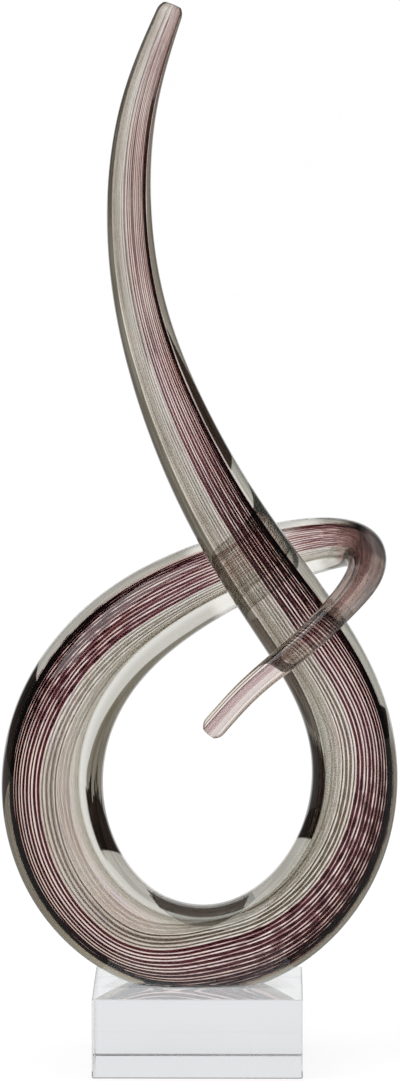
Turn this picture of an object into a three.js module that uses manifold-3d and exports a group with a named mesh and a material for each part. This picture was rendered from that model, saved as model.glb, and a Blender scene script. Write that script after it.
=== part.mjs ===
// Free-standing glass sculpture: one tapered rod of cased glass, bent hot into a ring whose two
// ends cross, with its ground foot glued on a clear glass block.
// Millimetres, +Z up, +Y away from the viewer, origin under the middle of the block.
import * as THREE from 'three';
import { ConvexGeometry } from 'three/addons/geometries/ConvexGeometry.js';
import { mergeVertices } from 'three/addons/utils/BufferGeometryUtils.js';
import Module from 'manifold-3d';

// Driving sizes
const blockWidth = 70;
const blockDepth = 70;
const blockHeight = 26.5;
const blockBevel = 0.4;        // polished flat on every edge of the block
const glueThickness = 0.3;     // clear adhesive between foot and block
const figureWidth = 134;       // over the glass, from the ring's left side to its right side
const figureHeight = 328.9;    // from the block's top to the middle of the rod's upper end
const thickestRadius = 17.25;  // rod radius on the left side of the ring
const footGrind = 4.4;         // glass ground off the ring's lowest point to make it stand
const crossingGap = 0.8;       // air between the rod's own passes where they cross
const caneCount = 34;          // canes fused side by side around the core
const smokeCount = 14;         // of those, the smoke grey ones on the ring's inner side
const caneAngle = 2 * Math.PI / caneCount;
const seam = 0.12;             // clearance left between neighbouring layers of glass

// Rod section
const caneInnerShare = 0.72;   // inner face of the canes, of the bore's radius
const lipShare = 0.74;         // casing radius left at the fire-polished end, of the rod's radius
const roundingShare = 0.7;     // length of that rounding, of the rod's radius
const coreDomeShare = 0.35;    // how far the core swells out of the end, of its own radius

// Mesh steps
const roundSides = 24;         // flats round the casing, its bore and the core
const layerSteps = 29;         // sections of the inner layers between the rod's two roundings
const outsideFineness = 2;     // sections of the casing's outside for each of those
const bendWeight = 26;         // mm of extra length that one radian of bending counts for
const sampleCount = 1500;
const roundingSteps = 4;

// The drawing that the centreline's points below were set out on, stretched to the sizes above
const drawnWidth = 134;
const drawnHeight = 328.9;
const drawnRadius = 17.25;
const acrossScale = figureWidth / drawnWidth;
const heightScale = figureHeight / drawnHeight;
const radiusScale = thickestRadius / drawnRadius;

// Where the rod crosses itself: the stem passes in front of the arm, the tail in front of the stem
const stemRadiusAtArm = 0.77 * thickestRadius;
const armRadiusAtStem = 0.68 * thickestRadius;
const stemRadiusAtTail = 0.82 * thickestRadius;
const tailRadiusAtStem = 0.27 * thickestRadius;
const armFromStem = stemRadiusAtArm + armRadiusAtStem + crossingGap;
const tailFromStem = stemRadiusAtTail + tailRadiusAtStem + crossingGap;
const stemLevel = -0.43 * armFromStem;
const armLevel = 0.585 * armFromStem;
const tailLevel = 0.95 * stemLevel - 1.07 * tailFromStem;

// How the layers inside change along the rod, because the casing was stretched and squeezed as the
// rod was drawn and bent: number of the control point, bore radius, and the shift of the bore to
// the ring's outer side, both as shares of the rod's radius
const layerPlan = [
  [0, 0.60, 0],          // upper end
  [3, 0.49, 0],
  [5.5, 0.49, 0],
  [8, 0.535, 0.055],     // right side of the ring
  [10.5, 0.535, 0.06],
  [13.5, 0.465, 0.115],  // left side of the ring
  [16, 0.44, 0.10],
  [20, 0.43, 0.08],      // curl
  [23.5, 0.34, -0.10],   // tail
  [26, 0.38, -0.06],     // lower end
];

// Value of a column of the layer plan at a control point, on the straight line between its rows
function planned(index, column) {
  const next = Math.max(layerPlan.findIndex((row) => row[0] >= index), 1);
  const [before, after] = [layerPlan[next - 1], layerPlan[next]];
  const share = (index - before[0]) / (after[0] - before[0]);
  return before[column] + (after[column] - before[column]) * share;
}

// Control points of the centreline: across, height above the block, rod radius, depth
const centreline = [
  [-8.2, 328.9, 4.25, 0.3 * stemLevel],   // upper end
  [-20.8, 295.5, 6.25, 0.5 * stemLevel],  // stem
  [-24, 258.5, 7.5, 0.75 * stemLevel],
  [-19.2, 223.5, 8.5, 0.95 * stemLevel],
  [-7, 189.5, 10.75, stemLevel],
  [9.5, 157, 12.5, stemLevel],
  [29.5, 128.5, 14, 0.97 * stemLevel],
  [46, 104, 14, 0.83 * stemLevel],        // right side of the ring
  [54, 77.5, 14.25, 0.6 * stemLevel],
  [50.5, 48, 14.75, 0.37 * stemLevel],
  [34.5, 23, 15, 0.15 * stemLevel],
  [9, 9, 15, 0],                          // foot
  [-20.5, 13, 15.75, 0.07 * armLevel],
  [-42, 33, 17, 0.25 * armLevel],         // left side of the ring
  [-51, 61, 17.25, 0.42 * armLevel],
  [-47, 89.5, 16.75, 0.6 * armLevel],
  [-31, 113.5, 15.5, 0.83 * armLevel],
  [-7, 130.5, 14, armLevel],              // arm behind the stem
  [18.5, 141, 11.25, armLevel],
  [34, 145.5, 10, armLevel],
  [47, 148, 8.5, 0.76 * armLevel],        // curl toward the viewer
  [56.5, 148, 6.5, 0.02 * tailLevel],
  [57, 140.5, 6.25, 0.45 * tailLevel],
  [48.5, 131, 5, 0.8 * tailLevel],
  [34.8, 117.7, 4.5, tailLevel],          // tail in front of the stem
  [17.2, 104.3, 4, 0.97 * tailLevel],
  [4.1, 88.3, 4, 0.83 * tailLevel],       // lower end
].map(([across, height, radius, depth], index) => ({
  place: new THREE.Vector3(across * acrossScale, depth, height * heightScale),
  radius: radius * radiusScale,
  bore: planned(index, 1),
  shift: planned(index, 2),
}));

// Weights of the four neighbouring control points of a uniform cubic B-spline
function splineWeights(t) {
  return [
    (1 - t) ** 3 / 6,
    (3 * t ** 3 - 6 * t ** 2 + 4) / 6,
    (-3 * t ** 3 + 3 * t ** 2 + 3 * t + 1) / 6,
    t ** 3 / 6,
  ];
}

// A control point past either end, mirrored so that the spline starts and ends on the list's own
function controlPoint(index) {
  const last = centreline.length - 1;
  if (index >= 0 && index <= last) {
    return centreline[index];
  }
  const end = centreline[index < 0 ? 0 : last];
  const inner = centreline[index < 0 ? 1 : last - 1];
  return {
    place: end.place.clone().multiplyScalar(2).sub(inner.place),
    radius: 2 * end.radius - inner.radius,
    bore: 2 * end.bore - inner.bore,
    shift: 2 * end.shift - inner.shift,
  };
}

// Fine samples of the rod: centre, sizes, distance travelled and a frame carried without twist.
// "outward" points to the ring's outer side, "toward" to the viewer where the ring faces them.
function sampleRod() {
  const samples = [];
  for (let i = 0; i <= sampleCount; i += 1) {
    const u = Math.min(i / sampleCount, 1 - 1e-9) * (centreline.length - 1);
    const span = Math.floor(u);
    const weights = splineWeights(u - span);
    const sample = { centre: new THREE.Vector3(), radius: 0, bore: 0, shift: 0 };
    weights.forEach((weight, k) => {
      const control = controlPoint(span + k - 1);
      sample.centre.addScaledVector(control.place, weight);
      for (const size of ['radius', 'bore', 'shift']) {
        sample[size] += control[size] * weight;
      }
    });
    samples.push(sample);
  }
  const outward = new THREE.Vector3(1, 0, 0);
  let travelled = 0;
  let progress = 0;
  samples.forEach((sample, i) => {
    const before = samples[Math.max(i - 1, 0)];
    const after = samples[Math.min(i + 1, sampleCount)];
    sample.along = after.centre.clone().sub(before.centre).normalize();
    outward.addScaledVector(sample.along, -outward.dot(sample.along)).normalize();
    sample.outward = outward.clone();
    sample.toward = sample.along.clone().cross(outward);
    const step = sample.centre.distanceTo(before.centre);
    const turn = i > 0 ? sample.along.angleTo(before.along) : 0;
    travelled += step;
    progress += step + bendWeight * turn;
    sample.travelled = travelled;
    sample.progress = progress;
  });
  return samples;
}

// The sample where a running quantity reaches a value
function sampleAt(samples, quantity, value) {
  return samples.find((sample) => sample[quantity] >= value) ?? samples.at(-1);
}

// Sections along the rod: closely spaced over the two rounded ends, and between them closer in
// tight bends. The casing's radius at a rounded end follows a quarter ellipse down to the lip.
// The inner layers have no sections over the roundings, and one in outsideFineness between them.
function placeSections(samples) {
  const length = samples.at(-1).travelled;
  const startRounding = roundingShare * samples[0].radius;
  const endRounding = roundingShare * samples.at(-1).radius;
  const first = sampleAt(samples, 'travelled', startRounding).progress;
  const last = sampleAt(samples, 'travelled', length - endRounding).progress;
  const roundingAt = (fraction, rounding) => rounding * (1 - Math.cos(fraction * Math.PI / 2));
  const sections = [];
  for (let k = 0; k < roundingSteps; k += 1) {
    const distance = roundingAt(k / roundingSteps, startRounding);
    const sample = sampleAt(samples, 'travelled', distance);
    sections.push({ ...sample, uncovered: 1 - distance / startRounding, onlyCasing: k > 0 });
  }
  const steps = layerSteps * outsideFineness;
  for (let k = 0; k <= steps; k += 1) {
    const sample = sampleAt(samples, 'progress', first + (last - first) * k / steps);
    sections.push({ ...sample, uncovered: 0, onlyCasing: k % outsideFineness > 0 });
  }
  for (let k = roundingSteps - 1; k >= 0; k -= 1) {
    const distance = roundingAt(k / roundingSteps, endRounding);
    const sample = sampleAt(samples, 'travelled', length - distance);
    sections.push({ ...sample, uncovered: 1 - distance / endRounding, onlyCasing: k > 0 });
  }
  for (const section of sections) {
    const lost = (1 - lipShare ** 2) * section.uncovered ** 2;
    section.casingRadius = section.radius * Math.sqrt(1 - lost);
  }
  return sections;
}

// A point round the rod's axis, at an angle from the ring's outer side round to the viewer's side
function pointRoundAxis(section, radius, angle) {
  return section.centre.clone()
    .addScaledVector(section.outward, radius * Math.cos(angle))
    .addScaledVector(section.toward, radius * Math.sin(angle));
}

// The same round the bore's axis, which lies off the rod's own
function pointRoundBore(section, radius, angle) {
  return pointRoundAxis(section, radius, angle)
    .addScaledVector(section.outward, section.shift * section.radius);
}

// A closed loop of points round either axis
function roundLoop(pointRound, section, radius) {
  const turn = 2 * Math.PI / roundSides;
  return Array.from({ length: roundSides }, (_, k) => pointRound(section, radius, k * turn));
}

// Skin over a row of equal loops; a row that wraps closes on itself, any other gets end caps
function skinLoops(loops, wraps, capApexes) {
  const sides = loops[0].length;
  const points = loops.flat();
  const faces = [];
  const rows = wraps ? loops.length : loops.length - 1;
  for (let i = 0; i < rows; i += 1) {
    const next = (i + 1) % loops.length;
    for (let k = 0; k < sides; k += 1) {
      const beside = (k + 1) % sides;
      const corners = [i * sides + k, i * sides + beside, next * sides + beside, next * sides + k];
      faces.push(corners[0], corners[1], corners[2]);
      faces.push(corners[0], corners[2], corners[3]);
    }
  }
  if (!wraps) {
    const lastLoop = (loops.length - 1) * sides;
    const fanFrom = capApexes ? 0 : 1;
    const startApex = capApexes ? points.push(capApexes[0]) - 1 : 0;
    const endApex = capApexes ? points.push(capApexes[1]) - 1 : lastLoop;
    for (let k = fanFrom; k < sides - fanFrom; k += 1) {
      const beside = (k + 1) % sides;
      faces.push(startApex, beside, k);
      faces.push(endApex, lastLoop + k, lastLoop + beside);
    }
  }
  const geometry = new THREE.BufferGeometry().setFromPoints(points);
  geometry.setIndex(faces);
  return geometry;
}

// Radii of the layers' corners at a section. Each layer's corners stay inside the flats of the one
// around it by the seam.
const boreRadius = (section) => section.bore * section.radius;
const caneOuterRadius = (section) => boreRadius(section) * Math.cos(Math.PI / roundSides) - seam;
const caneInnerRadius = (section) => caneInnerShare * boreRadius(section);
const coreRadius = (section) => caneInnerRadius(section) * Math.cos(caneAngle / 2) - seam;

// Outer casing: outside surface from end to end, then back along the bore
function casingGeometry(sections) {
  const outside = sections.map((section) => (
    roundLoop(pointRoundAxis, section, section.casingRadius)
  ));
  const bore = sections
    .filter((section) => !section.onlyCasing)
    .map((section) => roundLoop(pointRoundBore, section, boreRadius(section)));
  return skinLoops([...outside, ...bore.reverse()], true);
}

// Clear core, with a shallow fire-polished swelling at each end
function coreGeometry(sections) {
  const inner = sections.filter((section) => !section.onlyCasing);
  const loops = inner.map((section) => roundLoop(pointRoundBore, section, coreRadius(section)));
  const apexes = [[inner[0], -1], [inner.at(-1), 1]].map(([section, side]) => (
    pointRoundBore(section, 0, 0)
      .addScaledVector(section.along, side * coreDomeShare * coreRadius(section))
  ));
  return skinLoops(loops, false, apexes);
}

// One cane: a keystone section between the core and the bore, running the rod's whole length
function caneGeometry(sections, index) {
  const inner = sections.filter((section) => !section.onlyCasing);
  const loops = inner.map((section) => {
    const inside = caneInnerRadius(section);
    const outside = caneOuterRadius(section);
    const start = index * caneAngle;
    const end = start + caneAngle;
    const insideTrim = seam / 2 / inside;
    const outsideTrim = seam / 2 / outside;
    return [
      pointRoundBore(section, inside, start + insideTrim),
      pointRoundBore(section, outside, start + outsideTrim),
      pointRoundBore(section, outside, end - outsideTrim),
      pointRoundBore(section, inside, end - insideTrim),
    ];
  });
  return skinLoops(loops, false);
}

// Clear block with a polished bevel on all twelve edges
function blockGeometry() {
  const corners = [];
  const inset = [[blockBevel, blockBevel, 0], [blockBevel, 0, blockBevel], [0, blockBevel, blockBevel]];
  for (const across of [-1, 1]) {
    for (const deep of [-1, 1]) {
      for (const up of [0, 1]) {
        for (const [dx, dy, dz] of inset) {
          const height = up ? blockHeight - dz : dz;
          const x = across * (blockWidth / 2 - dx);
          const y = deep * (blockDepth / 2 - dy);
          corners.push(new THREE.Vector3(x, y, height));
        }
      }
    }
  }
  return new ConvexGeometry(corners);
}

const wasm = await Module();
wasm.setup();

function toSolid(geometry) {
  const bare = new THREE.BufferGeometry();
  bare.setAttribute('position', geometry.getAttribute('position'));
  bare.setIndex(geometry.getIndex());
  const welded = mergeVertices(bare, 1e-5);
  return new wasm.Manifold(new wasm.Mesh({
    numProp: 3,
    vertProperties: new Float32Array(welded.getAttribute('position').array),
    triVerts: new Uint32Array(welded.getIndex().array),
  }));
}

function fromSolid(solid) {
  const mesh = solid.getMesh();
  const geometry = new THREE.BufferGeometry();
  geometry.setAttribute('position', new THREE.BufferAttribute(mesh.vertProperties, 3));
  geometry.setIndex(new THREE.BufferAttribute(mesh.triVerts, 1));
  return geometry;
}

// The casing's lowest stretch ground flat at the top of the glue
function grindFoot(casing, footPlane) {
  const waste = new THREE.BoxGeometry(figureWidth, figureWidth, 2 * blockHeight);
  waste.translate(0, 0, footPlane - blockHeight);
  return fromSolid(toSolid(casing).subtract(toSolid(waste)));
}

// Cured glue: an oval plate that fills the foot's own flat
function glueGeometry(casing, footPlane) {
  const places = casing.getAttribute('position');
  const foot = new THREE.Box3();
  for (let i = 0; i < places.count; i += 1) {
    const place = new THREE.Vector3().fromBufferAttribute(places, i);
    if (Math.abs(place.z - footPlane) < 1e-4) {
      foot.expandByPoint(place);
    }
  }
  const size = foot.getSize(new THREE.Vector3());
  const middle = foot.getCenter(new THREE.Vector3());
  const oval = new THREE.CylinderGeometry(0.48, 0.48, glueThickness, 32);
  oval.rotateX(Math.PI / 2);
  oval.scale(size.x, size.y, 1);
  oval.translate(middle.x, middle.y, footPlane - glueThickness / 2);
  return oval;
}

const colours = {
  clear: { color: 0xdfe6e3, transparent: true, opacity: 0.28, roughness: 0.05 },
  glue: { color: 0xe9e7dc, transparent: true, opacity: 0.5, roughness: 0.2 },
  amethyst: { color: 0x4a2434, roughness: 0.15 },
  smoke: { color: 0x9b958a, roughness: 0.15 },
};

function makePiece(name, geometry, colour) {
  const flat = geometry.index ? geometry.toNonIndexed() : geometry;
  flat.deleteAttribute('normal');
  flat.deleteAttribute('uv');
  const welded = mergeVertices(flat, 1e-4);
  welded.computeVertexNormals();
  const piece = new THREE.Mesh(welded, new THREE.MeshStandardMaterial(colours[colour]));
  piece.name = name;
  return piece;
}

// The rod is lifted so that its lowest point lies one grind below the foot's flat
const footPlane = blockHeight + glueThickness;
const rod = sampleRod();
const lowest = Math.min(...rod.map((sample) => sample.centre.z - sample.radius));
for (const sample of rod) {
  sample.centre.z += footPlane - footGrind - lowest;
}
const sections = placeSections(rod);
const casing = grindFoot(casingGeometry(sections), footPlane);

const sculpture = new THREE.Group();
sculpture.name = 'glass_knot_sculpture';
sculpture.add(makePiece('clear_block', blockGeometry(), 'clear'));
sculpture.add(makePiece('glue_film', glueGeometry(casing, footPlane), 'glue'));
sculpture.add(makePiece('clear_casing', casing, 'clear'));
sculpture.add(makePiece('clear_core', coreGeometry(sections), 'clear'));

// The canes number from the ring's outer side round by the viewer's side, so the smoke grey ones
// are the middle run and the amethyst ones the rest
const firstSmoke = (caneCount - smokeCount) / 2;
for (let index = 0; index < caneCount; index += 1) {
  const smoke = index >= firstSmoke && index < firstSmoke + smokeCount;
  const kind = smoke ? 'smoke' : 'amethyst';
  const number = String(index + 1).padStart(2, '0');
  sculpture.add(makePiece(`${kind}_cane_${number}`, caneGeometry(sections, index), kind));
}

export default sculpture;
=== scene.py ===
"""A knotted rod of cased glass, glued by its foot to a clear block, in a white studio.

The block and the glue film keep their CAD shapes. The rod is made again with round, smooth layers:
a clear glass body, and 34 canes inside it, each with a coloured thread under its outer face.
"""

import math

import bpy
import numpy as np
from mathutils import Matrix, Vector


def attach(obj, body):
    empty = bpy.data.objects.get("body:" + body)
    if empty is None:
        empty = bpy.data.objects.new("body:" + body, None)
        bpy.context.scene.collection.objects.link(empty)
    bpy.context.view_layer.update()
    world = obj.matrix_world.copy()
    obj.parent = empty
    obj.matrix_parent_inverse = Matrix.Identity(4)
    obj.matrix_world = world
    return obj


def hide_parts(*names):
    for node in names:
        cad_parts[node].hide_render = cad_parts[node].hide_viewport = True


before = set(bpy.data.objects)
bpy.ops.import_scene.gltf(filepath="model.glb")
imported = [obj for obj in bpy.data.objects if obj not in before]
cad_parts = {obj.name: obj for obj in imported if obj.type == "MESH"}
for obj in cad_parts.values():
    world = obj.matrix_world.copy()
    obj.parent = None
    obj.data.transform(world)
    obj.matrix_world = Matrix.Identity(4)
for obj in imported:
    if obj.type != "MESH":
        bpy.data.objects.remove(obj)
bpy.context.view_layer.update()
scene = bpy.context.scene
scene.view_settings.view_transform = "Standard"

# Light runs along inside the bent rod, and leaves it only after many reflections
LIGHT_BOUNCES = 160
scene.cycles.max_bounces = LIGHT_BOUNCES
scene.cycles.glossy_bounces = LIGHT_BOUNCES
scene.cycles.transmission_bounces = LIGHT_BOUNCES
scene.cycles.transparent_max_bounces = 32

# The camera stands 2.5 m in front, a little above the ring, with a long lens. Its place was worked
# out from the ring, the rod's ends and the block's edges in the photograph.
CAMERA_PLACE = Vector((0.023, -2.517, 0.4366))
CAMERA_TARGET = Vector((0.0006, 0.0, 0.1758))
CAMERA_LENS = 252.5

camera = bpy.data.objects.new("camera", bpy.data.cameras.new("camera"))
camera.data.lens = CAMERA_LENS
camera.data.clip_end = 50
camera.location = CAMERA_PLACE
camera.rotation_euler = (CAMERA_TARGET - CAMERA_PLACE).to_track_quat("-Z", "Y").to_euler()
scene.collection.objects.link(camera)
scene.camera = camera


# The white surroundings. The camera and what it sees through the glass get plain white; mirrored
# rays see a dim room with a white backdrop, so that the glass keeps its dark rims; surfaces are lit
# from all round.
class Wire:
    """One output of a node. Arithmetic on it adds Math nodes."""

    def __init__(self, tree, socket):
        self.tree = tree
        self.socket = socket

    def math(self, operation, *others):
        """The result of a Math node on this output and the others."""
        inputs = dict(enumerate((self, *others)))
        return self.tree.add("ShaderNodeMath", {"operation": operation}, inputs)[0]

    def __add__(self, other):
        return self.math("ADD", other)

    def __radd__(self, other):
        return self.math("ADD", other)

    def __sub__(self, other):
        return self.math("SUBTRACT", other)

    def __rsub__(self, other):
        return self.math("MULTIPLY_ADD", -1, other)

    def __mul__(self, other):
        return self.math("MULTIPLY", other)

    def __rmul__(self, other):
        return self.math("MULTIPLY", other)

    def larger(self, other):
        return self.math("MAXIMUM", other)

    def smooth(self, low, high):
        """0 up to low and 1 from high on, with a smooth step between them."""
        inputs = {"Value": self, "From Min": low, "From Max": high}
        return self.tree.add("ShaderNodeMapRange", {"interpolation_type": "SMOOTHSTEP"}, inputs)[0]

    def within(self, start, full, fading, end):
        """0 up to start, 1 from full to fading and 0 from end on, with smooth steps between them."""
        return self.smooth(start, full) * self.smooth(end, fading)

    def mix(self, low, high):
        """The colour low where this is 0, and high where it is 1."""
        inputs = {0: self, 6: low, 7: high}
        return self.tree.add("ShaderNodeMix", {"data_type": "RGBA"}, inputs)[2]


class Node:
    """A node just added, whose outputs are read by name or number."""

    def __init__(self, tree, node):
        self.tree = tree
        self.node = node

    def __getitem__(self, output):
        return Wire(self.tree, self.node.outputs[output])


class Tree:
    """The empty node tree of a material or world."""

    def __init__(self, owner):
        owner.use_nodes = True
        self.nodes = owner.node_tree.nodes
        self.links = owner.node_tree.links
        self.nodes.clear()

    def add(self, kind, settings=None, inputs=None):
        """A node with its settings made first, and then the values or links of its inputs."""
        node = self.nodes.new(kind)
        for name, value in (settings or {}).items():
            if name == "stops":
                for place, _ in value[2:]:
                    node.color_ramp.elements.new(place)
                for element, (place, colour) in zip(node.color_ramp.elements, value):
                    element.position = place
                    element.color = (*colour, 1)
            else:
                setattr(node, name, value)
        for name, value in (inputs or {}).items():
            if isinstance(value, Wire):
                self.links.new(value.socket, node.inputs[name])
            elif node.inputs[name].type == "RGBA":
                node.inputs[name].default_value = (*value, 1)
            else:
                node.inputs[name].default_value = value
        return Node(self, node)


# Brightness of the room all round and as the glass mirrors it, and how far behind the sculpture a
# direction has to point, from 0 to 1, to begin to meet the backdrop and to meet it fully
ROOM_LIGHT = 0.85
MIRRORED_ROOM = 0.06
BACKDROP_EDGE = (0.86, 0.94)

world = bpy.data.worlds.new("studio")
scene.world = world
tree = Tree(world)
ray = tree.add("ShaderNodeLightPath")
seen = ray["Is Camera Ray"].larger(ray["Is Transmission Ray"])
direction = tree.add("ShaderNodeTexCoord")["Generated"]
backdrop = tree.add("ShaderNodeSeparateXYZ", None, {0: direction})[1].smooth(*BACKDROP_EDGE)
room = ROOM_LIGHT - (ROOM_LIGHT - MIRRORED_ROOM) * ray["Is Glossy Ray"]
strength = room.larger(seen).larger(backdrop)
sky = tree.add("ShaderNodeBackground", None, {"Color": (1, 1, 1), "Strength": strength})
tree.add("ShaderNodeOutputWorld", None, {"Surface": sky[0]})

lamp = bpy.data.objects.new("soft_lamp", bpy.data.lights.new("soft_lamp", "AREA"))
lamp.data.energy = 14
lamp.data.size = 1.4
lamp.location = (-1.2, -0.9, 1.9)
lamp.rotation_euler = (-lamp.location).to_track_quat("-Z", "Y").to_euler()
scene.collection.objects.link(lamp)


# The floor: nearly plain white to the camera and through the glass, with a fifth of its shading
# left. Mirrored rays see it dim, apart from a wedge behind the sculpture.
def new_object(name, points, polygons, materials, numbers=None, coordinates=None):
    """A smooth object from an array of points and a list of arrays of polygons' corners.

    Numbers pick each polygon's material, and coordinates are the UV place of each corner.
    """
    corners = np.concatenate([group.ravel() for group in polygons])
    sizes = np.concatenate([np.full(len(group), group.shape[1]) for group in polygons])
    mesh = bpy.data.meshes.new(name)
    mesh.vertices.add(len(points))
    mesh.vertices.foreach_set("co", points.astype(np.float32).ravel())
    mesh.loops.add(len(corners))
    mesh.loops.foreach_set("vertex_index", corners.astype(np.int32))
    mesh.polygons.add(len(sizes))
    mesh.polygons.foreach_set("loop_start", (np.cumsum(sizes) - sizes).astype(np.int32))
    mesh.polygons.foreach_set("use_smooth", np.ones(len(sizes), bool))
    for material in materials:
        mesh.materials.append(material)
    if numbers is not None:
        mesh.polygons.foreach_set("material_index", numbers.astype(np.int32))
    if coordinates is not None:
        mesh.uv_layers.new(name="rod").data.foreach_set("uv", coordinates.astype(np.float32).ravel())
    mesh.update()
    mesh.validate()
    made = bpy.data.objects.new(name, mesh)
    scene.collection.objects.link(made)
    return made


FLOOR_HALF = 8.0
FLOOR_DROP = 0.0001
FLOOR_GREY = (0.86, 0.86, 0.86)
FLOOR_GLOW = 1.06
MIRRORED_FLOOR = 0.08
PLAIN_SHARE = 0.8
# The wedge's edge runs this many metres back for each metre across. The wedge begins and is full at
# these distances behind that edge.
WEDGE_SLOPE = 1.5
WEDGE_EDGE = (0.05, 0.2)
FLOOR_CORNERS = [(-1, -1, 0), (1, -1, 0), (1, 1, 0), (-1, 1, 0)]
floor_material = bpy.data.materials.new("floor")
tree = Tree(floor_material)
ray = tree.add("ShaderNodeLightPath")
seen = ray["Is Camera Ray"].larger(ray["Is Glossy Ray"]).larger(ray["Is Transmission Ray"])
matt = tree.add("ShaderNodeBsdfDiffuse", None, {"Color": FLOOR_GREY})
place = tree.add("ShaderNodeSeparateXYZ", None, {0: tree.add("ShaderNodeTexCoord")["Object"]})
wedge = (place[1] - WEDGE_SLOPE * place[0].math("ABSOLUTE")).smooth(*WEDGE_EDGE)
dimmed = 1 - (1 - MIRRORED_FLOOR) * ray["Is Glossy Ray"]
strength = FLOOR_GLOW * dimmed.larger(ray["Is Transmission Ray"]).larger(wedge)
bright = tree.add("ShaderNodeEmission", None, {"Color": (1, 1, 1), "Strength": strength})
blend = tree.add("ShaderNodeMixShader", None, {0: seen * PLAIN_SHARE, 1: matt[0], 2: bright[0]})
tree.add("ShaderNodeOutputMaterial", None, {"Surface": blend[0]})
floor_points = np.array(FLOOR_CORNERS, float) * FLOOR_HALF - (0, 0, FLOOR_DROP)
floor = new_object("floor", floor_points, [np.array([[0, 1, 2, 3]])], [floor_material])


# The clear block: cast and polished optical glass, 70 mm square and 26.5 mm high, finely bevelled.
# It keeps its CAD shape.
def linear(red, green, blue):
    """A colour read off a screen, 0 to 255, as the linear values that shaders take."""
    def channel(value):
        share = value / 255
        return share / 12.92 if share <= 0.04045 else ((share + 0.055) / 1.055) ** 2.4
    return tuple(channel(value) for value in (red, green, blue))


def principled(name, inputs, absorption=None):
    """A material of one Principled shader. Inputs is a function of the tree that gives its inputs,
    and absorption the colour and density of the glass inside.
    """
    material = bpy.data.materials.new(name)
    tree = Tree(material)
    outputs = {"Surface": tree.add("ShaderNodeBsdfPrincipled", None, inputs(tree))[0]}
    if absorption:
        outputs["Volume"] = tree.add("ShaderNodeVolumeAbsorption", None, absorption)[0]
    tree.add("ShaderNodeOutputMaterial", None, outputs)
    return material


BLOCK_TINTS = (linear(226, 228, 230), linear(230, 232, 234))
# Painted shade: the underside a little darker, and the lowest bevels dark
UNDERSIDE_PAINTED_SHADE = (0.885, 0.89, 0.89)
BEVEL_TINT = (0.8, 0.8, 0.81)
LOW_BEVEL_PAINTED_SHADE = (0.14, 0.13, 0.14)


def block_inputs(tree):
    """Very slightly blue glass, faintly wavy from polishing, with matt grey bevels.

    A bevel is where no part of the face's own normal comes near 1. Faces looking down carry a faint
    painted shade, and the lowest bevels, up to 2 mm above the shelf, a dark painted shade.
    """
    place = tree.add("ShaderNodeTexCoord")["Object"]
    wave = tree.add("ShaderNodeTexNoise", None, {"Vector": place, "Scale": 30.0, "Detail": 1.0})[0]
    normal = tree.add("ShaderNodeNewGeometry")["True Normal"]
    size = tree.add("ShaderNodeVectorMath", {"operation": "ABSOLUTE"}, {0: normal})[0]
    parts = tree.add("ShaderNodeSeparateXYZ", None, {0: size})
    bevel = parts[0].larger(parts[1]).larger(parts[2]).smooth(0.95, 0.9)
    upward = tree.add("ShaderNodeSeparateXYZ", None, {0: normal})[2]
    # Faces looking down get a faint painted shade
    face = upward.smooth(-0.9, -0.95).mix(wave.mix(*BLOCK_TINTS), UNDERSIDE_PAINTED_SHADE)
    # The lowest bevels get a dark painted shade
    low = tree.add("ShaderNodeSeparateXYZ", None, {0: place})[2].smooth(0.003, 0.002)
    colour = bevel.mix(face, low.mix(BEVEL_TINT, LOW_BEVEL_PAINTED_SHADE))
    return {
        "Base Color": colour, "Roughness": 0.25 * bevel, "IOR": 1.5, "Transmission Weight": 1.0,
    }


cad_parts["clear_block"].material_slots[0].material = principled("block_glass", block_inputs)


# The glue film: a thin oval of clear adhesive, cured between the block's top and the rod's ground
# foot. It keeps its CAD shape.
def glue_inputs(tree):
    """Clear glue, spread a little unevenly."""
    place = tree.add("ShaderNodeTexCoord")["Object"]
    spread = tree.add("ShaderNodeTexNoise", None, {"Vector": place, "Scale": 300.0, "Detail": 2.0})[0]
    colour = spread.mix(linear(240, 240, 236), linear(252, 252, 250))
    return {"Base Color": colour, "Roughness": 0.02, "IOR": 1.48, "Transmission Weight": 1.0}


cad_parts["glue_film"].material_slots[0].material = principled("glue", glue_inputs)

# The clear glass body: the casing and the core, fused into one while hot. It is a round rod, drawn
# down to a thin stem and a thin tail, bent into a ring and an overhand knot, and ground flat below.
MM = 0.001
FOOT_PLANE = 26.8 * MM
FOOT_GRIND = 4.4 * MM
THICKEST_RADIUS = 17.25
CROSSING_GAP = 0.8

# Depths in millimetres at which the rod passes in front of or behind itself. Each pair of shares is
# the radii of the two passes where they cross.
ARM_FROM_STEM = (0.77 + 0.68) * THICKEST_RADIUS + CROSSING_GAP
TAIL_FROM_STEM = (0.82 + 0.27) * THICKEST_RADIUS + CROSSING_GAP
STEM = -0.43 * ARM_FROM_STEM
ARM = 0.585 * ARM_FROM_STEM
TAIL = 0.95 * STEM - 1.07 * TAIL_FROM_STEM

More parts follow.
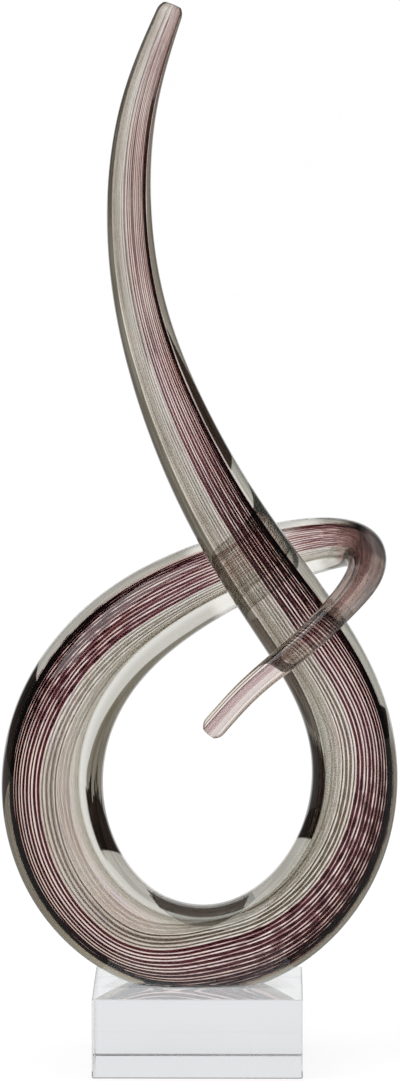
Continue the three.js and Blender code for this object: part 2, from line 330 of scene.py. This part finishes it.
# The centreline's control points in millimetres: across, height above the block, radius, depth. They
# run down the stem, clockwise round the ring, and through the arm and the curl to the tail.
CENTRELINE = np.array([
    (-8.5, 327.8, 4.25, 0.3 * STEM),
    (-21.2, 295.5, 6.25, 0.5 * STEM),
    (-24, 258.5, 7.5, 0.75 * STEM),
    (-19.2, 223.5, 8.5, 0.95 * STEM),
    (-7, 189.5, 10.75, STEM),
    (9.5, 157, 12.5, STEM),
    (29.5, 128.5, 14, 0.97 * STEM),
    (46, 104, 14, 0.83 * STEM),
    (54, 77.5, 14.25, 0.6 * STEM),
    (50.5, 48, 14.75, 0.37 * STEM),
    (34.5, 23, 15, 0.15 * STEM),
    (9, 9, 15, 0),
    (-20.5, 13, 15.75, 0.07 * ARM),
    (-42, 33, 17, 0.25 * ARM),
    (-51, 61, 17.25, 0.42 * ARM),
    (-47, 89.5, 16.75, 0.6 * ARM),
    (-31, 113.5, 15.5, 0.83 * ARM),
    (-7, 130.5, 14, ARM),
    (18.5, 141, 11.25, ARM),
    (34, 145.5, 10, ARM),
    (47, 148, 8.5, 0.76 * ARM),
    (56.5, 148, 6.5, 0.02 * TAIL),
    (57, 140.5, 6.25, 0.45 * TAIL),
    (48.5, 131, 5, 0.8 * TAIL),
    (34.8, 117.7, 4.5, TAIL),
    (17.2, 104.3, 4, 0.97 * TAIL),
    (4.1, 88.3, 4, 0.83 * TAIL),
]) * MM

# The layer of canes along the rod: number of the control point, outer radius of the layer, and its
# shift to the ring's outer side, both as shares of the rod's radius
LAYER_PLAN = np.array([
    (0, 0.60, 0), (3, 0.49, 0), (5.5, 0.49, 0), (8, 0.545, 0.065), (10.5, 0.545, 0.07),
    (13.5, 0.475, 0.12), (16, 0.45, 0.105), (20, 0.43, 0.08), (23.5, 0.34, -0.10), (26, 0.38, -0.06),
])


def sampled_rod(count=3000):
    """The centreline as a uniform cubic B-spline, mirrored past its ends.

    Each column is a sum of four control points weighed by (1-t)^3/6, (3t^3-6t^2+4)/6,
    (-3t^3+3t^2+3t+1)/6 and t^3/6. Outward starts across and is carried along without twist, and
    toward is along crossed with outward.
    """
    numbers = np.arange(len(CENTRELINE))
    planned = [np.interp(numbers, LAYER_PLAN[:, 0], column) for column in LAYER_PLAN[:, 1:].T]
    table = np.column_stack([CENTRELINE, *planned])
    ends = 2 * table[[0, -1]] - table[[1, -2]]
    controls = np.vstack([ends[:1], table, ends[1:]])
    place = np.minimum(np.linspace(0, 1, count), 1 - 1e-9) * numbers[-1]
    span = place.astype(int)
    t = (place - span)[:, None]
    weights = [(1 - t) ** 3, 3 * t**3 - 6 * t**2 + 4, -3 * t**3 + 3 * t**2 + 3 * t + 1, t**3]
    values = sum(weight / 6 * controls[span + k] for k, weight in enumerate(weights))
    centre = values[:, [0, 3, 1]]
    radius = values[:, 2]
    centre[:, 2] += FOOT_PLANE - FOOT_GRIND - (centre[:, 2] - radius).min()
    along = np.gradient(centre, axis=0)
    along /= np.linalg.norm(along, axis=1)[:, None]
    outward = np.empty_like(along)
    current = np.array((1.0, 0.0, 0.0))
    for step, direction in enumerate(along):
        current = current - direction * (current @ direction)
        current /= np.linalg.norm(current)
        outward[step] = current
    return np.column_stack([centre, radius, along, outward, np.cross(along, outward), values[:, 4:]])


rod = sampled_rod()
rod_steps = np.linalg.norm(np.diff(rod[:, :3], axis=0), axis=1)
rod_distance = np.concatenate([[0], np.cumsum(rod_steps)])
ROD_LENGTH = rod_distance[-1]


def rod_at(distance):
    """Centre, radius, along, outward, toward, and the canes' reach and shift, at distances."""
    read = np.column_stack([np.interp(distance, rod_distance, column) for column in rod.T])
    return np.split(read, [3, 4, 7, 10, 13, 14], axis=1)


def loop_faces(rows, first, sides, width):
    """Four-cornered faces of a closed loop of sides that starts at column first of a grid."""
    row, side = np.meshgrid(np.arange(rows - 1) * width, np.arange(sides), indexing="ij")
    here = row + first + side
    beside = row + first + (side + 1) % sides
    return np.stack([here, beside, beside + width, here + width], -1).reshape(-1, 4)


# Sections round the body and along it; each end is rounded over a quarter ellipse to a narrower
# lip and closed by a shallow dome.
BODY_SIDES = 80
BODY_STEP = 1.3 * MM
END_STEPS = 12
LIP_SHARE = 0.74
ROUNDING_SHARE = 0.7
DOME_SHARE = 0.11


def body_grid():
    """Rows of points: centre + size * radius * (outward cos a + toward sin a), a going round.

    Over the rounding of length L, size = sqrt(1 - (1 - lip^2) u^2), u falling from 1 to 0. The
    dome before it grows as cos b to the lip while it sinks from dome height as sin b.
    """
    first_length = ROUNDING_SHARE * rod[0, 3]
    last_length = ROUNDING_SHARE * rod[-1, 3]
    turn = np.linspace(0, np.pi / 2, END_STEPS)[:-1]
    first = first_length * (1 - np.cos(turn))
    last = ROD_LENGTH - last_length * (1 - np.cos(turn[::-1]))
    middle = np.linspace(first_length, ROD_LENGTH - last_length, int(ROD_LENGTH / BODY_STEP))
    uncovered = np.concatenate([np.cos(turn), 0 * middle, np.cos(turn[::-1])])
    size = np.sqrt(1 - (1 - LIP_SHARE**2) * uncovered**2)
    dome = np.linspace(0, np.pi / 2, END_STEPS)[1:]
    distance = np.concatenate([0 * dome, first, middle, last, 0 * dome + ROD_LENGTH])
    size = np.concatenate([LIP_SHARE * np.cos(dome[::-1]), size, LIP_SHARE * np.cos(dome)])
    rise = np.concatenate([-np.sin(dome[::-1]), 0 * first, 0 * middle, 0 * last, np.sin(dome)])
    centre, radius, along, outward, toward = rod_at(distance)[:5]
    centre = centre + along * radius * DOME_SHARE * rise[:, None]
    angle = np.arange(BODY_SIDES) * 2 * np.pi / BODY_SIDES
    reach = (radius * size[:, None])[..., None]
    turned = outward[:, None] * np.cos(angle)[:, None] + toward[:, None] * np.sin(angle)[:, None]
    points = centre[:, None] + reach * turned
    points[..., 2] = np.maximum(points[..., 2], FOOT_PLANE)
    return points, distance


def rim_tint(red, green, blue):
    """The tint of glass that shows a colour. A surface tints light by its tint's square root."""
    return tuple(share**2 for share in linear(red, green, blue))


def by_distance(distance, stops):
    """A colour that runs from stop to stop along the rod. Stops are millimetres and linear colours."""
    places = [(place * MM / ROD_LENGTH, colour) for place, colour in stops]
    return distance.tree.add("ShaderNodeValToRGB", {"stops": places}, {"Fac": distance})[0]


# A panel's ends are given where the slant is this
MIDDLE_SLANT = 0.45


def panel(along, slant, streak, ends, leans, ragged, bounds):
    """1 on a painted dark panel, a painted reflection at the rim, and 0 off it.

    Ends are millimetres along the rod at the middle slant, leans shift them by the slant, and
    ragged ones are drawn out by the streaks. Bounds are the slants that the panel lies between.
    """
    shifts = [(slant - MIDDLE_SLANT) * leans[k] + (streak - 0.5) * ragged[k] for k in (0, 1)]
    start = (along - ends[0] + shifts[0]).smooth(-0.5, 0.5)
    stop = (along - ends[1] + shifts[1]).smooth(0.5, -0.5)
    inside = (slant - bounds[0]).smooth(-0.01, 0.02) * (slant - bounds[1]).smooth(0.02, -0.02)
    return start * stop * inside


# Painted reflections and shade that the clear rims show at a slant, on the ring's inner side and on
# its outer side
INNER_RIM_PAINTED_REFLECTION = [
    (0, (75, 70, 64)), (60, (85, 80, 72)), (72, (108, 102, 88)), (225, (110, 104, 90)),
    (238, (96, 90, 78)), (285, (84, 78, 66)), (306, (200, 200, 193)), (380, (205, 203, 199)),
    (416, (192, 190, 182)), (424, (120, 110, 92)), (458, (108, 100, 84)), (500, (118, 112, 94)),
    (545, (150, 147, 135)), (600, (120, 112, 104)), (693, (130, 120, 112)),
]
OUTER_RIM_PAINTED_REFLECTION = [
    (0, (95, 88, 80)), (20, (105, 97, 88)), (60, (132, 122, 112)), (104, (150, 144, 134)),
    (164, (192, 194, 186)), (250, (196, 198, 190)), (268, (110, 104, 90)), (350, (150, 146, 132)),
    (388, (165, 160, 140)), (410, (120, 112, 92)), (448, (100, 92, 74)), (482, (196, 196, 190)),
    (596, (190, 186, 178)), (608, (178, 164, 154)), (634, (160, 144, 134)), (642, (228, 216, 198)),
]
# Where the painted rim begins: millimetres and slant, from 0 straight on to 1 along the surface
INNER_PAINTED_RIM_START = [
    (0, 0.42), (70, 0.34), (100, 0.34), (125, 0.31), (405, 0.31), (418, 0.23), (455, 0.25),
    (500, 0.42), (525, 0.52), (640, 0.6),
]
OUTER_PAINTED_RIM_START = [
    (0, 0.5), (60, 0.37), (100, 0.32), (250, 0.34), (270, 0.44), (478, 0.44), (490, 0.38),
    (590, 0.38), (606, 0.6),
]
# Painted dark panels, painted reflections of a dark room at the rims: ends, leans, ragged ends, bounds
# and the range of colour
DEEP_PAINTED_SHADE = ((6, 3, 2), (42, 32, 26))
BROWN_PAINTED_SHADE = ((34, 24, 18), (60, 48, 38))
FAINT_PAINTED_SHADE = ((84, 76, 70), (116, 106, 98))
STREAKED_PAINTED_SHADE = ((52, 44, 38), (112, 104, 94))
INNER_PAINTED_PANELS = [
    ((210, 256), (0, 24), (0, 0), (0.31, 0.9), STREAKED_PAINTED_SHADE),
    ((262, 302), (24, -8), (40, 0), (0.27, 0.9), DEEP_PAINTED_SHADE),
    ((340.5, 388), (15, -33), (0, 0), (0.29, 0.6), FAINT_PAINTED_SHADE),
    ((417, 447), (12, 20), (0, 50), (0.24, 0.9), DEEP_PAINTED_SHADE),
]
OUTER_PAINTED_PANELS = [
    ((117, 163), (-60, 10), (0, 0), (0.32, 0.95), BROWN_PAINTED_SHADE),
    ((254, 270), (-10, 60), (0, 0), (0.36, 0.95), DEEP_PAINTED_SHADE),
    ((449, 477.5), (30, -14), (0, 0), (0.36, 0.95), DEEP_PAINTED_SHADE),
]
# Painted reflections along the stem and the tail, as lines and bands, one of them a painted highlight:
# the millimetres that they run from and to, place and half width as shares of the way round, and
# colour
PAINTED_BANDS = [
    (3, 120, 0.284, 0.008, (164, 152, 146)), (3, 120, 0.232, 0.008, (158, 142, 136)),
    (30, 122, 0.13, 0.022, (104, 82, 74)),
    (641, 700, 0.155, 0.04, (240, 232, 214)), (641, 700, 0.204, 0.012, (84, 64, 56)),
    (641, 700, 0.112, 0.012, (104, 90, 78)), (641, 700, 0.388, 0.014, (90, 74, 66)),
]
# Millimetres along the rod where the stem ends, where the tail begins, where the stem hides the
# arm, first as its tint changes and then as light goes straight through, and where the curl is
STEM_END = (260, 220)
TAIL_START = (638, 644)
HIDDEN = (534, 540, 578, 584)
HIDDEN_STRAIGHT = (542, 550, 568, 576)
CURL = (588, 594, 634, 640)
# Shares of the light that go straight through: in the curl face on and at a slant, and where hidden
CURL_STRAIGHT = 0.34
CURL_SLANT_STRAIGHT = 0.2
ARM_STRAIGHT = 0.3
# Tints of the glass face on; painted shade at a slant on the ring's inner side, on the stem's and on
# the outer side; tints of the stem's broad and fine streaks and of the tail; painted shade on the
# curl; and the nearly clear tint of the hidden arm
CLEAR = rim_tint(252, 251, 249)
INNER_SLANT_PAINTED_SHADE = rim_tint(213, 213, 207)
STEM_SLANT_PAINTED_SHADE = rim_tint(238, 234, 228)
OUTER_SLANT_PAINTED_SHADE = rim_tint(240, 237, 234)
BROAD_STREAKS = rim_tint(190, 174, 162)
FINE_STREAKS = rim_tint(186, 180, 170)
TAIL_TINT = rim_tint(246, 241, 239)
CURL_PAINTED_SHADE = rim_tint(194, 174, 164)
HIDDEN_TINT = rim_tint(250, 249, 246)
# Painted reflections of the rim: dark painted shade in the curl, pale where hidden, pale painted
# streaks, and painted shade at the stem's very edge
CURL_RIM_PAINTED_SHADE = rim_tint(100, 78, 68)
HIDDEN_PAINTED_RIM = rim_tint(235, 234, 230)
PAINTED_RIM_STREAKS = rim_tint(150, 146, 136)
STEM_EDGE_PAINTED_SHADE = rim_tint(60, 52, 44)
# How strongly those streaks and that painted shade at the edge show, and how far in slant the fine
# streaks move the painted rim
BROAD_SHARE = 0.25
FINE_SHARE = 0.3
PAINTED_RIM_STREAK_SHARE = 0.4
STEM_EDGE_PAINTED_SHADE_SHARE = 0.6
UNEVENNESS = 0.05


def body_inputs(tree):
    """Clear glass with painted reflections and shade: pale grey at a slant, a tinted rim and dark
    panels on either side, and painted lines along the stem and the tail.

    Outer is 1 on the ring's outer side and 0 on its inner side. Alpha lets a share of the light
    straight through the curl, where the tight bend would trap it, and through the arm where the
    stem hides it.
    """
    place = tree.add("ShaderNodeUVMap", {"uv_map": "rod"})["UV"]
    split = tree.add("ShaderNodeSeparateXYZ", None, {"Vector": place})
    distance = split[1]
    outer = (split[0] * (2 * np.pi)).math("COSINE").smooth(-0.2, 0.2)
    slant = tree.add("ShaderNodeLayerWeight", None, {"Blend": 0.5})["Facing"]
    drawn = tree.add("ShaderNodeMapping", None, {"Vector": place, "Scale": (26, 9, 1)})[0]
    streak = tree.add("ShaderNodeTexNoise", None, {"Vector": drawn, "Scale": 3.0, "Detail": 2.0})[0]
    broad = tree.add("ShaderNodeTexNoise", None, {"Vector": drawn, "Scale": 0.8, "Detail": 2.0})[0]
    uneven = slant + (streak - 0.5) * UNEVENNESS
    along = distance * (ROD_LENGTH / MM)
    stem = along.smooth(*STEM_END)
    tail = along.smooth(*TAIL_START)
    hidden = along.within(*HIDDEN)
    curl = along.within(*CURL)
    # Painted shade: the glass is painted pale grey at a slant
    painted_slant_shade = outer.mix(stem.mix(INNER_SLANT_PAINTED_SHADE, STEM_SLANT_PAINTED_SHADE), OUTER_SLANT_PAINTED_SHADE)
    colour = slant.smooth(0.02, 0.3).mix(CLEAR, painted_slant_shade)
    colour = (broad.smooth(0.42, 0.58) * stem * BROAD_SHARE).mix(colour, BROAD_STREAKS)
    colour = (streak.smooth(0.47, 0.6) * stem * FINE_SHARE).mix(colour, FINE_STREAKS)
    colour = tail.mix(colour, TAIL_TINT)
    # Painted shade on the curl; where the stem hides the arm, nearly clear glass
    colour = hidden.mix(curl.mix(colour, CURL_PAINTED_SHADE), HIDDEN_TINT)
    sides = []
    for rims, starts, panels in (
        (INNER_RIM_PAINTED_REFLECTION, INNER_PAINTED_RIM_START, INNER_PAINTED_PANELS), (OUTER_RIM_PAINTED_REFLECTION, OUTER_PAINTED_RIM_START, OUTER_PAINTED_PANELS),
    ):
        # The painted rim: painted reflections and shade at the slanted edge, darker in the curl, with
        # pale painted streaks, painted shade at the stem's edge, and pale where hidden
        start = by_distance(distance, [(at, (share,) * 3) for at, share in starts])
        start = tree.add("ShaderNodeSeparateColor", None, {0: start})[0]
        rim = by_distance(distance, [(at, rim_tint(*shade)) for at, shade in rims])
        rim = curl.mix(rim, CURL_RIM_PAINTED_SHADE)
        rim = (streak.smooth(0.4, 0.6) * PAINTED_RIM_STREAK_SHARE).mix(rim, PAINTED_RIM_STREAKS)
        edge = (uneven - start).smooth(0.14, 0.34) * stem * STEM_EDGE_PAINTED_SHADE_SHARE
        rim = edge.mix(rim, STEM_EDGE_PAINTED_SHADE)
        rim = hidden.mix(rim, HIDDEN_PAINTED_RIM)
        side = (uneven - start).smooth(0, 0.03).mix(colour, rim)
        # Painted dark panels: painted reflections of a dark room
        for *form, shades in panels:
            dark = streak.smooth(0.3, 0.7).mix(*(rim_tint(*shade) for shade in shades))
            side = panel(along, uneven, streak, *form).mix(side, dark)
        sides.append(side)
    colour = outer.mix(*sides)
    # Painted reflection lines along the stem and the tail, one of them a painted highlight
    for first, last, middle, half, shade in PAINTED_BANDS:
        offset = split[0] - middle + (streak - 0.5) * 0.01
        painted_band = offset.math("ABSOLUTE").smooth(half, half * 0.4)
        painted_band *= along.within(first - 3, first + 3, last - 3, last + 3)
        colour = painted_band.mix(colour, rim_tint(*shade))
    curl_straight = CURL_STRAIGHT - (CURL_STRAIGHT - CURL_SLANT_STRAIGHT) * slant.smooth(0.3, 0.5)
    straight = curl * curl_straight + ARM_STRAIGHT * along.within(*HIDDEN_STRAIGHT)
    return {
        "Base Color": colour, "Roughness": 0.0, "IOR": 1.5, "Transmission Weight": 1.0,
        "Alpha": 1 - straight,
    }


# The first and last rows are the poles themselves, so fans of triangles close them
grid, distance = body_grid()
rows = len(grid) - 2
poles = grid[[0, -1]].mean(1)
inner = grid[1:-1].reshape(-1, 3)
side = np.arange(BODY_SIDES)
beside = (side + 1) % BODY_SIDES
last_row = (rows - 1) * BODY_SIDES
skin = loop_faces(rows, 0, BODY_SIDES, BODY_SIDES)
fans = np.vstack([
    np.stack([0 * side + len(inner), beside, side], -1),
    np.stack([0 * side + len(inner) + 1, last_row + side, last_row + beside], -1),
])
row, column = np.divmod(np.arange(len(skin)), BODY_SIDES)
skin_across = np.stack([column, column + 1, column + 1, column], -1) / BODY_SIDES
skin_down = distance[1:-1][np.stack([row, row, row + 1, row + 1], -1)] / ROD_LENGTH
fan_across = np.tile(np.stack([side, side + 1, side], -1) / BODY_SIDES, (2, 1))
fan_down = np.repeat([0.0, 1.0], BODY_SIDES)[:, None] + np.zeros(3)
coordinates = np.vstack([
    np.stack([skin_across, skin_down], -1).reshape(-1, 2),
    np.stack([fan_across, fan_down], -1).reshape(-1, 2),
])
points = np.vstack([inner, poles])
# The casing's colour carries painted reflections and shade at its slants and rims
material = principled("casing_glass", body_inputs)
body = new_object("glass_body", points, [skin, fans], [material], coordinates=coordinates)
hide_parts("clear_casing", "clear_core")
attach(body, "root")

# The canes: 34 strips of glass side by side in a layer between core and casing, drawn down with the
# rod from tip to tip. Each is nearly clear glass fused round a thread of coloured glass: dark
# amethyst for 20 canes on the ring's outer side, and smoke grey for 14 on its inner side.
CANE_COUNT = 34
SMOKE_COUNT = 14
CANE_ANGLE = 2 * np.pi / CANE_COUNT
# Room left between canes and before the rod's ends
CANE_GAP = 0.015 * MM
CANE_END_GAP = 0.02 * MM
# Rows along a cane, and points of a strip's face and of a thread's section
CANE_SECTIONS = 520
ARC_POINTS = 4
THREAD_POINTS = 8
# Sizes as shares of the layer's outer radius
CANE_LAYER = 0.15
THREAD_REACH = 0.94
THREAD_HALF_DEPTH = 0.02
# The threads' widths as shares of a cane, and how strongly a metre of them absorbs red, green and
# blue: toward the viewer, on the ring's inner side, and melted to a pale tint on the far side
THREADS = {
    ("amethyst", "near"): (0.7, (8600, 13000, 12200)),
    ("amethyst", "far"): (1.0, (110, 140, 140)),
    ("smoke", "near"): (0.6, (3600, 3850, 4300)),
    ("smoke", "inner"): (1.0, (1500, 1620, 1860)),
    ("smoke", "far"): (1.0, (110, 118, 136)),
}
# Numbers of the canes on those last two sides
INNER_CANES = range(14, 17)
FAR_CANES = range(17, 31)
# The bundle winds a little to and fro: millimetres along the rod, and degrees
TURNS = [
    (0, -22), (16, -4), (60, 0), (228, 0), (260, -12), (358, 36), (388, -12), (452, -4), (522, 36),
    (550, 36), (600, 20), (693, 0),
]
# Seams between canes are squeezed toward the viewer's side and drift: radians, and shares of a cane
SEAM_SQUEEZE = 0.2
SEAM_DRIFT = 0.05
# How far the bending has broken the light windows between the threads: millimetres along the rod,
# and 0 where they are whole. The threads are wider and sway more where it is above 0, and are
# thinner where it is below 0, toward the upper end and where the stem hides the arm.
BROKEN = [
    (0, -1.2), (95, -1), (125, -0.2), (140, 0), (165, 0.8), (215, 0.8), (240, 0), (262, 0),
    (282, 0.6), (358, 0.6), (382, 0), (460, 0), (475, 0.7), (508, 1), (540, 1), (551, -3),
    (568, -3), (573, 1.5), (603, 1.5), (620, 0), (693, 0),
]
# The breaks: millimetres from one to the next, and radians that each cane is ahead of the last one
BREAK_SPACING = 14
BREAK_SHIFT = 2.6
# The threads' sway as a share of half a cane, and what the breaks add to it and to the width
SWAY = 0.04
BROKEN_SWAY = 0.08
BROKEN_WIDENING = 0.24
# Threads are wider round the ring's outer side, by a bump that fades as the cosine falls
OUTER_WIDENING = 0.22
OUTER_FADE = 0.07
WIDEST_THREAD = 0.97
# The widths of the near threads differ by up to this share
WIDTH_VARIETY = 0.27


def eased(distance, table):
    """A value read between the rows of a table, and averaged over 16 mm along the rod."""
    places, values = np.transpose(table)
    shifts = np.linspace(-8, 8, 9)
    return sum(np.interp(distance / MM + shift, places, values) for shift in shifts) / len(shifts)


def seam_angle(seam, distance):
    """The angle of a seam between canes: its even place with a slow drift, squeezed toward the
    viewer's side, and turned with the bundle.
    """
    share = distance / ROD_LENGTH * 2 * np.pi
    number = seam % CANE_COUNT
    drift = np.sin(share * (2 + number % 3) + number * 2.4) + 0.6 * np.sin(share * 7 + number * 4.1)
    even = (seam + drift * SEAM_DRIFT) * CANE_ANGLE
    return even + SEAM_SQUEEZE * np.cos(even) + np.radians(eased(distance, TURNS))


def cane_grid(index, width):
    """Rows of a strip's section and a thread's: points at an angle and a reach from the axis.

    The strip's face is an arc at the casing's bore and its back a flat at the core. The thread is
    a flat oval under the face, and sways from side to side. One of width 1 fills its cane all
    along, and a narrower one is widened as the tables say.
    """
    distance = np.linspace(CANE_END_GAP, ROD_LENGTH - CANE_END_GAP, CANE_SECTIONS)
    centre, radius, along, outward, toward, bore, shift = rod_at(distance)
    centre = centre + outward * radius * shift
    face = radius * bore - CANE_GAP
    low = seam_angle(index, distance)[:, None]
    high = seam_angle(index + 1, distance)[:, None]
    middle = (low + high) / 2
    half = (high - low) / 2
    side = half - CANE_GAP / face / 2
    across = np.linspace(-1, 1, ARC_POINTS)
    returning = np.array([1, -1])
    turn = np.arange(THREAD_POINTS) * 2 * np.pi / THREAD_POINTS
    phase = distance / (BREAK_SPACING * MM) * 2 * np.pi + index * BREAK_SHIFT
    phase += np.sin(distance / (17 * MM) + index * 0.5)
    broken = eased(distance, BROKEN)[:, None]
    sway = (SWAY + BROKEN_SWAY * broken) * np.sin(phase)[:, None]
    if width < 1:
        bump = OUTER_WIDENING * np.exp((np.cos(middle) - 1) / OUTER_FADE)
        width = np.minimum(width * (1 + BROKEN_WIDENING * broken) + bump, WIDEST_THREAD)
    angle = np.hstack([
        middle + side * across, middle + side * returning,
        middle + half * (sway + width * np.sin(turn)),
    ])[..., None]
    reach = np.hstack([
        face + 0 * across, face * (1 - CANE_LAYER) + 0 * returning,
        face * (THREAD_REACH + THREAD_HALF_DEPTH * np.cos(turn)),
    ])[..., None]
    turned = outward[:, None] * np.cos(angle) + toward[:, None] * np.sin(angle)
    return centre[:, None] + reach * turned, distance


# Millimetres along the rod where the tail turns pale, where the ring's bends have breaks, and the
# ring's lower left
PALE_TAIL = (630, 650)
BENDS = [(263, 287, 336, 364), (453, 477, 498, 526)]
LOWER_LEFT = (355, 385, 454, 470)
PALE_TINT = (0.975, 0.97, 0.97)
# Tints of the breaks, and of the light windows on the lower left with their share there
GAPS = {"amethyst": (0.42, 0.3, 0.31), "smoke": (0.84, 0.83, 0.79)}
LOWER_TINTS = {"amethyst": (1, 0.97, 0.94), "smoke": (0.68, 0.66, 0.62)}
LOWER_SHARE = 0.8
# Where the near threads are darker, and their tint there
DARKENED = {
    "amethyst": ((150, 180, 210, 240), (0.42, 0.34, 0.35)),
    "smoke": ((215, 245, 385, 415), (0.6, 0.54, 0.5)),
}


def coloured(kind, layer, loss, tints):
    """Glass with drawn streaks of tints that absorbs red, green and blue light as loss says.

    It bends no light in the casing. A near skin has short dark breaks where the ring was bent, as
    far apart as the threads sway, and in each next cane further on by the shift. A near thread is
    darker along one stretch.
    """
    def inputs(tree):
        place = tree.add("ShaderNodeUVMap", {"uv_map": "rod"})["UV"]
        drawn = tree.add("ShaderNodeMapping", None, {"Vector": place, "Scale": (12, 4, 1)})[0]
        noise = {"Vector": drawn, "Scale": 5.0, "Detail": 3.0}
        streak = tree.add("ShaderNodeTexNoise", None, noise)[0]
        colour = tree.add("ShaderNodeValToRGB", {"stops": tints}, {"Fac": streak})[0]
        split = tree.add("ShaderNodeSeparateXYZ", None, {0: place})
        along = split[1] * (ROD_LENGTH / MM)
        colour = along.smooth(*PALE_TAIL).mix(colour, PALE_TINT)
        if layer == "near_skin":
            number = split[0].math("FLOOR")
            wander = (along * 0.06 + number * 1.7).math("SINE")
            phase = along * (2 * np.pi / BREAK_SPACING) + number * BREAK_SHIFT + wander
            bent = along.within(*BENDS[0]).larger(along.within(*BENDS[1]))
            breaks = phase.math("COSINE").smooth(0.4, 0.95) * bent
            colour = breaks.mix(colour, GAPS[kind])
            colour = (along.within(*LOWER_LEFT) * LOWER_SHARE).mix(colour, LOWER_TINTS[kind])
        if layer == "near_thread":
            stretch, darker = DARKENED[kind]
            colour = along.within(*stretch).mix(colour, darker)
        return {"Base Color": colour, "Roughness": 0.0, "IOR": 1.0, "Transmission Weight": 1.0}

    density = max(loss)
    tint = tuple(1 - part / density for part in loss)
    return principled(f"{kind}_{layer}_glass", inputs, {"Color": tint, "Density": density})


# Tints from one end of the streaks' range to the other: violet, clear and brown, and plain greys
ROSE_TINTS = [
    (0.32, (0.68, 0.58, 0.7)), (0.43, (1, 1, 1)), (0.55, (1, 0.99, 0.96)), (0.67, (0.86, 0.7, 0.62)),
]
GREY_TINTS = [(0.35, (0.94, 0.94, 0.93)), (0.65, (1, 1, 1))]
THREAD_TINTS = [(0.35, (0.9, 0.88, 0.89)), (0.65, (1, 1, 1))]
# The skins: how strongly they absorb, as for the threads, and their tints
SKINS = {"amethyst": ((18, 32, 30), ROSE_TINTS), "smoke": ((30, 33, 42), GREY_TINTS)}
skin_materials = {
    (kind, near): coloured(kind, "near_skin" if near else "skin", *skin)
    for kind, skin in SKINS.items() for near in (True, False)
}
thread_materials = {
    (kind, place): coloured(kind, f"{place}_thread", loss, THREAD_TINTS)
    for (kind, place), (_, loss) in THREADS.items()
}
# First point and number of points of a strip's section and of its thread's, in a row of the grid
LOOPS = [(0, ARC_POINTS + 2), (ARC_POINTS + 2, THREAD_POINTS)]
first_smoke = (CANE_COUNT - SMOKE_COUNT) // 2

for index in range(CANE_COUNT):
    smoke = first_smoke <= index < first_smoke + SMOKE_COUNT
    kind = "smoke" if smoke else "amethyst"
    place = "far" if index in FAR_CANES else "inner" if index in INNER_CANES else "near"
    width = THREADS[kind, place][0]
    if place == "near":
        width *= 1 + WIDTH_VARIETY * math.sin(index * 2.1 + 2.4)
    grid, distance = cane_grid(index, width)
    columns = grid.shape[1]
    last = (CANE_SECTIONS - 1) * columns
    polygons = []
    numbers = []
    for number, (first, count) in enumerate(LOOPS):
        end = np.arange(first, first + count)[None]
        around = loop_faces(CANE_SECTIONS, first, count, columns)
        polygons += [around, end[:, ::-1], end + last]
        numbers += [number] * (len(around) + 2)
    corners = np.concatenate([group.ravel() for group in polygons])
    coordinates = np.stack([
        corners % columns / columns + index, distance[corners // columns] / ROD_LENGTH,
    ], -1)
    name = f"{kind}_cane_{index + 1:02d}"
    cane = new_object(
        name + "_drawn", grid.reshape(-1, 3), polygons,
        [skin_materials[kind, place == "near"], thread_materials[kind, place]], np.array(numbers),
        coordinates=coordinates,
    )
    # Hard edges are kept as sharp edges, since a volume's faces have to be all smooth or all flat
    cane.data.set_sharp_from_angle(angle=0.7)
    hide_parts(name)
    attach(cane, "root")
